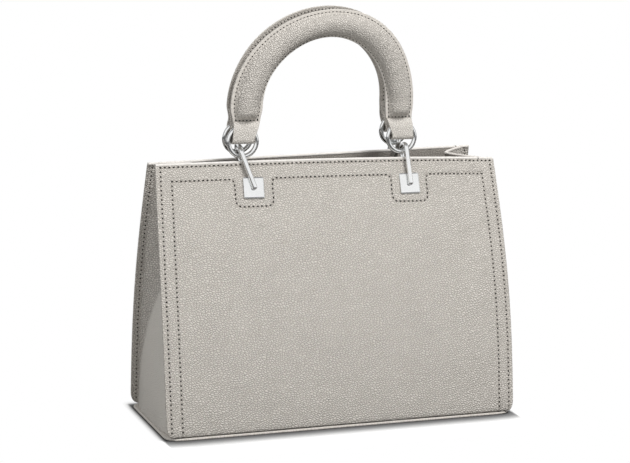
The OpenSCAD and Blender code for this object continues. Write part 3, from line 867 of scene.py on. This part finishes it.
# Base
def base():
    """The base leather with its rounded edge, and the lining over its board."""
    deselect()
    bpy.ops.mesh.primitive_circle_add(vertices=192, radius=1, fill_type="NGON")
    leather = just_made("base_leather")
    for point in leather.data.vertices:
        point.co = rounded_outline(atan2(point.co.y, point.co.x), BASE_W / 2, BASE_D / 2, BASE_R) * MM
    edit(
        leather,
        lambda: bpy.ops.mesh.extrude_region_move(TRANSFORM_OT_translate={"value": (0, 0, BASE_T * MM)}),
        lambda: bpy.ops.mesh.select_all(action="SELECT"),
        face_outward,
    )
    round_edges(leather, BASE_EDGE_R, 4)
    dress(leather, "body", (base_leather,), "leather", "base_panel")
    lining = shaped_grid(
        "base_inner_lining", 60, 24,
        lambda a, b: Vector((
            (2 * a - 1) * (BASE_W / 2 - BASE_BOARD_IN), (2 * b - 1) * (BASE_D / 2 - BASE_BOARD_IN / 2),
            BASE_T + BASE_BOARD_T + LINING_T + 0.15 * noise.noise(Vector((9 * a, 4 * b, 3))),
        )),
    )
    thicken(lining, LINING_T, edge_r=0.2)
    dress(lining, "body", (lining_cloth,), "lining", "base_lining")


def rounded_outline(angle, half_x, half_y, r):
    """Point of a rounded rectangle's outline in the direction of an angle."""
    way = Vector((cos(angle), sin(angle), 0))
    far = min(half_x / max(abs(way.x), 1e-9), half_y / max(abs(way.y), 1e-9))
    cx, cy = half_x - r, half_y - r
    p = way * far
    if abs(p.x) > cx and abs(p.y) > cy:
        c = Vector((copysign(cx, p.x), copysign(cy, p.y), 0))
        b = way.dot(c)
        far = b + sqrt(max(0, b * b - c.dot(c) + r * r))
    return way * far


# Hardware
def smooth_metal(name, node, body):
    """A smooth copy of a packed metal part, its facets merged."""
    obj = nodes[node].copy()
    obj.data = nodes[node].data.copy()
    scene.collection.objects.link(obj)
    obj.name = obj.data.name = name
    obj.parent = None
    for key in list(obj.keys()):
        if key.startswith("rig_"):
            del obj[key]
    obj.data.materials.clear()
    edit(obj, merge_points)
    dress(obj, body, (nickel,), "metal", node, smooth=35)


def plate(corner, side, end):
    """A square plate with softened corners and edges, laid on the leather."""
    deselect()
    bpy.ops.mesh.primitive_cube_add(size=1)
    obj = just_made(corner + "_bevelled_plate")
    obj.data.transform(Matrix.Diagonal((PLATE_SIDE * MM, PLATE_T * MM, PLATE_SIDE * MM, 1)))
    edit(obj, select="DESELECT")
    for edge in obj.data.edges:
        a, b = (obj.data.vertices[i].co for i in edge.vertices)
        edge.select = abs(a.y - b.y) > 0.5 * PLATE_T * MM
    edit(obj, lambda: bpy.ops.mesh.bevel(offset=PLATE_CORNER_R * MM, segments=4), select=None)
    round_edges(obj, PLATE_EDGE_R, 3)
    flat, out, up, seat = hook_frame(side, plate_share(end))
    place = (seat + out * (PLATE_LIFT + PLATE_T / 2)) * MM
    obj.data.transform(frame_matrix(flat, out, up, place))
    dress(obj, "body", (nickel,), "metal", corner + "_plate", smooth=30)


# Handles
# How far each arch's top hangs to the right, seen from the front
SWAY = {FRONT: 11, BACK: 4}
PAD_HALF_W = HANDLE_W / 2 - BORDER_W
# Round the bend the padding spreads and leans to the inner curve, from a place near each end and over a run
PAD_SPREAD, PAD_LEAN = 1.4, 0.16
BEND_START, BEND_RUN = 10, 22
# Each end is flat, and then the padding rises over a run
FLAT_END, RISE_RUN = 2.4, 5.5
# Heights of the fine and the broad creases, and the place and the reach of the deepest ones near each end
FINE_CREASE, BROAD_CREASE = 0.34, 0.3
CREASE_AT, CREASE_REACH = 24, 26
# Padding under this height is pressed smooth
PRESSED_RISE = 1.2
# Stitch rows: beside the padding from a little past the ends, and across each end
BORDER_ROW, BORDER_START, BORDER_STEPS = PAD_HALF_W + 0.55, 1.6, 200
END_ROW_HALF_W, END_ROW_IN = PAD_HALF_W + 0.6, 1.1
# Breadth of a handle against its plain width: narrow at its ends, wide up its left leg, narrow over its top
BREADTHS = ((0, 0.93), (0.05, 1.09), (0.2, 1.06), (0.5, 0.91), (0.8, 0.98), (0.95, 1.0), (1, 0.93))


def handle_path(side, share):
    """Point and outward direction along the handle's middle line, in its own plane."""
    d, leg, r = share * HANDLE_LENGTH[side], LEG[side], ARCH_R[side]
    if d < leg:
        return (-r, COVER_END_Z + d), (-1, 0)
    if d > HANDLE_LENGTH[side] - leg:
        return (r, COVER_END_Z + HANDLE_LENGTH[side] - d), (1, 0)
    c, s = cos((d - leg) / r), sin((d - leg) / r)
    return (-r * c, ARCH_Z[side] + r * s), (-c, s)


def handle_breadth(side, share):
    share = share if side == FRONT else 1 - share
    for (low, a), (high, b) in zip(BREADTHS, BREADTHS[1:]):
        if share <= high:
            return between(a, b, eased((share - low) / (high - low)))
    return BREADTHS[-1][1]


def handle_spot(side, share, across, out):
    """Point of a handle at a share of its length, a distance across it and a height over its strap."""
    (x, z), way = handle_path(side, share)
    across *= handle_breadth(side, share)
    x, z = x + way[0] * across, z + way[1] * across
    h = max(0, (z - COVER_END_Z) / (ARCH_Z[side] + ARCH_R[side] + HANDLE_W / 2 - COVER_END_Z))
    return in_frame(handle_frames[side], (x + world_way[side] * SWAY[side] * h * h, -out, z))


def end_distance(share):
    return min(share, 1 - share) * HANDLE_LENGTH[FRONT]


def arched(share):
    """Share to which the padding is pressed to the inside of the bend, none at the ends."""
    return eased((end_distance(share) - BEND_START) / BEND_RUN)


def crown(share, across):
    """Height of the padding over the strap."""
    if across < 0:
        across *= PAD_HALF_W / (PAD_HALF_W + PAD_SPREAD * arched(share))
    radius = (PAD_HALF_W**2 + CROWN_H**2) / (2 * CROWN_H)
    rise = CROWN_H - radius + sqrt(max(0, radius**2 - across**2))
    run = clamp((end_distance(share) - FLAT_END) / RISE_RUN)
    dome = sqrt(max(0, 1 - (1 - run) ** 2))
    return COVER_T + max(0, rise) * dome


def creased(side, share, across):
    """Creases across the padding, deepest on its inner curve and near its ends."""
    near_end = exp(-((end_distance(share) - CREASE_AT) / CREASE_REACH) ** 2)
    inner = max(0, -across / PAD_HALF_W) * 0.9 + 0.1
    run = share * HANDLE_LENGTH[FRONT]
    fine = noise.noise(Vector((run / 1.9 + 40 * side, across / 9, 2.7)))
    broad = noise.noise(Vector((run / 5.5, across / 14, 8.1 * side)))
    height = FINE_CREASE * fine + BROAD_CREASE * broad
    return height * (0.3 + 0.7 * near_end) * (0.35 + 0.65 * inner)


def handle(side):
    """One handle: its padded cover, the strap behind it and the seams along its borders and its ends."""
    body = SIDES[side] + "_handle"

    def cover_place(a, b):
        across = HANDLE_W / 2 * (1 - 2 * a)
        height = crown(b, across)
        padded_share = min(1, (height - COVER_T) / (0.5 * CROWN_H))
        leaning = across - PAD_LEAN * (height - COVER_T) * arched(b)
        return handle_spot(side, b, leaning, height + creased(side, b, across) * padded_share)

    cover = shaped_grid(body + "_padded_cover", 44, 260, cover_place)
    # The flat borders are pressed smooth, the padded middle keeps its grain
    heights = [crown(b, HANDLE_W / 2 * (1 - 2 * a)) - COVER_T for a, b in grid_shares(44, 260)]
    keep_values(cover, "calm", [1 - min(1, height / PRESSED_RISE) for height in heights])
    thicken(cover, COVER_T, edge_r=0.5)
    dress(cover, body, (handle_leather, edge_paint), "leather", body + "_cover", body + "_core")

    strap = shaped_grid(
        body + "_strap_leather", 30, 200,
        lambda a, b: handle_spot(side, b, HANDLE_W / 2 * (2 * a - 1), -STRAP_T),
    )
    thicken(strap, STRAP_T, edge_r=0.5)
    dress(strap, body, (strap_leather, edge_paint), "leather", body + "_strap")

    borders = (BORDER_ROW, -BORDER_ROW)
    end_share = END_ROW_IN / HANDLE_LENGTH[side]
    front_rows = [handle_row(side, across, 1, COVER_T, spread=PAD_SPREAD) for across in borders]
    end_rows = [
        [handle_sample(side, share, END_ROW_HALF_W * (i / 6 - 1), 1, COVER_T) for i in range(13)]
        for share in (end_share, 1 - end_share)
    ]
    back_rows = [handle_row(side, across, -1, STRAP_T, tail_rise=TAB_T) for across in borders]
    for name, rows in (("border", front_rows), ("end", end_rows), ("back", back_rows)):
        hole = STRAP_HOLE if name == "back" else BORDER_HOLE
        sew(f"{body}_{name}_seams", body, rows, hole, pitch=BORDER_PITCH)


def handle_sample(side, share, across, face, height):
    p = handle_spot(side, share, across, face * height)
    q = handle_spot(side, share, across, face * (height + 1))
    return p, (q - p).normalized()


def handle_row(side, across, face, height, spread=0, tail_rise=0):
    """Samples along a handle, at a distance across it, on its padded face or on its back.

    spread is how far the row gives way to the padding in the bend, and tail_rise is its climb onto the tails.
    """
    first = BORDER_START / HANDLE_LENGTH[side]
    samples = []
    for i in range(BORDER_STEPS + 1):
        share = between(first, 1 - first, i / BORDER_STEPS)
        on_tail = clamp((TAIL + TAIL_STEP / 2 - end_distance(share)) / TAIL_STEP)
        aside = across - spread * arched(share) if across < 0 else across
        samples.append(handle_sample(side, share, aside, face, height + tail_rise * on_tail))
    return samples


# The front of a tab, down from the handle's end to the fold: each place's distance out and its height
TAB_PATH = ((2.1, COVER_END_Z + 0.3), (2.7, 25.8), (3.5, 24.0), (4.0, 21.0), (4.0, 17.0))


def tab_line(t):
    """Distance out and height at a share of a tab's length, from its front top to its tail's top."""
    down = [*TAB_PATH, (FOLD_R, FOLD_Z)]
    turns = [radians(angle) for angle in range(15, 180, 15)]
    fold = [(FOLD_R * cos(turn), FOLD_Z - FOLD_R * sin(turn)) for turn in turns]
    behind = STRAP_T + TAB_T
    up = [(-max(out, behind), z) for out, z in reversed(down[1:])]
    line = down + fold + up + [(-behind, COVER_END_Z + 1), (-behind, COVER_END_Z + TAIL)]
    lengths = [0.0]
    for a, b in zip(line, line[1:]):
        lengths.append(lengths[-1] + dist(a, b))
    k, share = stretch_at(lengths, t * lengths[-1])
    return [between(a, b, share) for a, b in zip(line[k], line[k + 1])]


def tab(corner, side, end):
    """A leather tab folded round a ring, its ends sewn into the handle and along its strap."""
    local = -side * end

    def place(a, b):
        out, z = tab_line(b)
        h = clamp((z - FOLD_Z) / (COVER_END_Z - FOLD_Z))
        climb = max(0, z - COVER_END_Z) / HANDLE_LENGTH[side]
        breadth = handle_breadth(side, climb if local < 0 else 1 - climb)
        width = between(TAB_FOLD_W, HANDLE_W * breadth - TAB_IN, h)
        centre = local * between(RING_HALF_SPAN[side], ARCH_R[side], h)
        bulge = 0.25 * noise.noise(Vector((a * 5, z / 5, side * 3 + end))) * (z < COVER_END_Z - 2)
        spot = (centre + (a - 0.5) * width, -out - copysign(bulge, out), z)
        return in_frame(handle_frames[side], spot)

    obj = shaped_grid(corner + "_folded_tab", 26, 110, place)
    modify(obj, "SMOOTH", factor=0.5, iterations=3)
    edit(obj, face_outward)
    # Its faces have to look away from the middle of the fold
    centre = in_frame(handle_frames[side], (local * RING_HALF_SPAN[side], 0, TAB_FOLD_Z + 6)) * MM
    middle = obj.data.polygons[len(obj.data.polygons) // 2]
    if (middle.center - centre).dot(middle.normal) < 0:
        edit(obj, bpy.ops.mesh.flip_normals)
    thicken(obj, TAB_T, edge_r=0.45)
    dress(obj, SIDES[side] + "_handle", (tab_leather, edge_paint), "leather", corner + "_tab")


handle_frames = {side: handle_frame(side) for side in SIDES}
# A handle's own length runs right seen from the front, and left at the back
world_way = {side: copysign(1, handle_frames[side][0].x) for side in SIDES}

for side in SIDES:
    wall(side)
    handle(side)
    for end in ENDS:
        corner = f"{SIDES[side]}_{ENDS[end]}"
        plate(corner, side, end)
        tab(corner, side, end)
        for kind in ("hook", "ring"):
            smooth_metal(f"{corner}_wire_{kind}", f"{corner}_{kind}", f"{corner}_{kind}")
        smooth_metal(corner + "_pin_washer", corner + "_washer", "body")
for end in ENDS:
    gusset(end)
base()
for half in ("stud", "socket"):
    smooth_metal("snap_" + half, f"snap_{half}_half", "body")
for node in ("front_board", "back_board", "base_board"):
    nodes[node].data.materials.clear()
    nodes[node].data.materials.append(bag_board)


# Stage
# In metres: the floor's side, the reach of the shade painted from the bag's occlusion, and where the painted
# dark edge and the whole shadow end
FLOOR_SIZE, CLOSE_REACH = 6, 0.04
CONTACT_SHADOW_REACH, WHITE_REACH = 0.028, 0.055


def stage():
    """White paper under the bag, which shows its shadow close to it, darkened with painted shade."""
    deselect()
    bpy.ops.mesh.primitive_plane_add(size=FLOOR_SIZE, location=(0, 0, 0))
    floor = just_made("studio_floor")
    material = bpy.data.materials.new("studio_floor")
    add = node_adder(material)
    rays = add("LightPath")
    seen, gloss = rays.outputs["Is Camera Ray"], rays.outputs["Is Glossy Ray"]
    # Painted shade: close under the bag the floor's colour darkens with its ambient occlusion
    reach = add("AmbientOcclusion", {"Distance": CLOSE_REACH}, samples=8)
    close = add("Math", [reach.outputs["AO"], 1.4], operation="POWER")
    plain = add("Mix", {0: gloss, 6: "#A3A3A2", 7: "#5A5A5A"}, data_type="RGBA")
    tone = add("Mix", {0: seen, 6: plain.outputs[2], 7: (1.5, 1.5, 1.5, 1)}, data_type="RGBA")
    white = add("Emission", {"Color": (1, 1, 1, 1)})
    # Seen from the camera the floor turns plain white away from the bag, and keeps its shadow near it, with a
    # painted dark edge along the bag's foot
    place = add("TexCoord").outputs["Object"]
    aside = add("VectorMath", [place], operation="ABSOLUTE")
    foot = (BASE_W / 2 * MM, BASE_D / 2 * MM, 0.0)
    outside = add("VectorMath", [aside, foot], operation="SUBTRACT")
    outside = add("VectorMath", [outside, (0.0, 0.0, 0.0)], operation="MAXIMUM")
    # It turns white, and its painted dark edge fades, eight times sooner at the bag's sides than in front,
    # and up to four times behind
    back_too = add("SeparateXYZ", [place]).outputs["Y"]
    quicker = add("MapRange", [back_too, 0.0, 0.08, 1.0, 4.0])
    steps = add("CombineXYZ", {"X": 8.0, "Y": quicker, "Z": 1.0})
    outside = add("VectorMath", [outside, steps], operation="MULTIPLY")
    away = add("VectorMath", [outside], operation="LENGTH").outputs["Value"]
    far, painted_contact_shadow = (
        add("MapRange", [away, 0.0, fade, least, 1.0], **SOFT_ENDS)
        for fade, least in ((WHITE_REACH, 0.0), (CONTACT_SHADOW_REACH, 0.2))
    )
    # Painted shadow: the floor's colour is scaled down by its occlusion and, darkest at the bag's foot, by
    # its nearness to it
    close = add("Math", [close, painted_contact_shadow], operation="MULTIPLY")
    shaded = add("VectorMath", {0: tone.outputs[2], "Scale": close}, operation="SCALE")
    paper = add("BsdfDiffuse", {"Color": shaded})
    blank = add("Math", [far, seen], operation="MULTIPLY")
    floor_shader = add("MixShader", [blank, paper, white])
    add("OutputMaterial", {"Surface": floor_shader})
    floor.data.materials.append(material)


def lamp(name, place, size, power):
    """A soft lamp aimed at the bag's middle, unseen by its polished metal."""
    data = bpy.data.lights.new(name, "AREA")
    data.shape = "RECTANGLE"
    data.size, data.size_y = size
    data.energy = power
    obj = bpy.data.objects.new(name, data)
    scene.collection.objects.link(obj)
    obj.visible_glossy = False
    obj.location = place
    obj.rotation_euler = (Vector((0, 0, 0.12)) - Vector(place)).to_track_quat("-Z", "Y").to_euler()


def studio_world():
    """White all round for the camera, a soft grey room for the bag, bright and dark walls for its gloss."""
    world = bpy.data.worlds.new("studio")
    scene.world = world
    add = node_adder(world)
    way = add("SeparateXYZ", [add("TexCoord").outputs["Generated"]])
    height = way.outputs["Z"]
    ramp = add("MapRange", [height, -0.2, 0.9, 0.14, 0.6])
    rays = add("LightPath")
    # The walls are bright in front and behind, and darken towards the ceiling
    ceiling = add("MapRange", [height, 0.6, 0.85, 1.0, 0.35], **SOFT_ENDS)
    front, behind = (
        add("MapRange", [way.outputs["Y"], near, far, at_near, at_far], **SOFT_ENDS)
        for near, far, at_near, at_far in ((-0.15, 0.2, 1.0, 0.1), (0.4, 0.7, 0.0, 0.9))
    )
    walls = add("Math", [front, behind], operation="MAXIMUM")
    walls = add("Math", [ceiling, walls], operation="MULTIPLY")
    strength = add("Mix", {0: rays.outputs["Is Glossy Ray"], 2: ramp, 3: walls}, data_type="FLOAT")
    room = add("Background", {"Color": (1, 1, 1, 1), "Strength": strength})
    white = add("Background", {"Color": (1, 1, 1, 1)})
    both = add("MixShader", [rays.outputs["Is Camera Ray"], room, white])
    add("OutputWorld", {"Surface": both})


# Fitted to the photograph: the camera's place in metres, its turns in degrees, its lens and its film in mm
CAMERA_PLACE = (-0.4894, -1.3182, 0.3788)
CAMERA_TURNS = (20.07, 9.27, 0.846)
LENS, FILM_W = 99.8, 36


def camera():
    """The photograph's view: a long lens, from the left of the front and a little above."""
    yaw, pitch, roll = (radians(turn) for turn in CAMERA_TURNS)
    ahead = Vector((sin(yaw) * cos(pitch), cos(yaw) * cos(pitch), -sin(pitch)))
    right = Vector((cos(yaw), -sin(yaw), 0))
    up = right.cross(ahead)
    x = cos(roll) * right + sin(roll) * up
    y = -sin(roll) * right + cos(roll) * up
    data = bpy.data.cameras.new("camera")
    data.lens, data.sensor_width = LENS, FILM_W
    obj = bpy.data.objects.new("camera", data)
    scene.collection.objects.link(obj)
    obj.matrix_world = frame_matrix(x, y, -ahead, Vector(CAMERA_PLACE))
    scene.camera = obj


stage()
studio_world()
# Each lamp's place and size are in metres, and its power in watts
lamp("key", (0.5, -1.15, 1.75), (0.8, 0.8), 39)
lamp("fill", (-1.5, -1.2, 0.5), (1.0, 0.8), 8)
lamp("back", (0.3, 1.7, 1.2), (1.2, 1.0), 12)
camera()
scene.view_settings.view_transform = "Standard"
